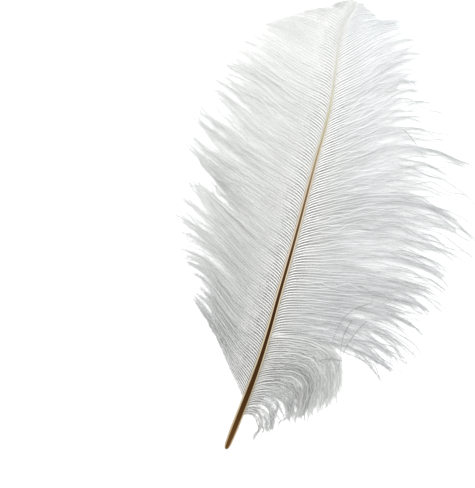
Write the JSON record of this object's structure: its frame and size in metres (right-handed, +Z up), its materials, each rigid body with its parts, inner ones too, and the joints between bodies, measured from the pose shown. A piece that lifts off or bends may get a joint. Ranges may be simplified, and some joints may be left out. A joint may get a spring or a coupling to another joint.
{
  "type": "ostrich feather",
  "caption": "White ostrich plume lying face up: a bare quill end, a bowed shaft, two soft vanes whose drooping locks of barbs reach the surface, and a curled downy tuft near the quill.",
  "frame": {"origin": "on the surface that the feather lies on, under the middle of its outline", "axes": "+Y from the quill's lower end to the plume's tip, +X to the wide vane, +Z up off the surface, out of the face that the picture shows"},
  "size_m": [0.1424, 0.222, 0.0101],
  "materials": {
    "feather": "soft matte white barbs with a silky sheen",
    "shaft": "horn, cream at the sides with a brown strip along the middle that fades out towards the tip"
  },
  "bodies": {
    "root": {"feather": "feather"}
  },
  "joints": []
}
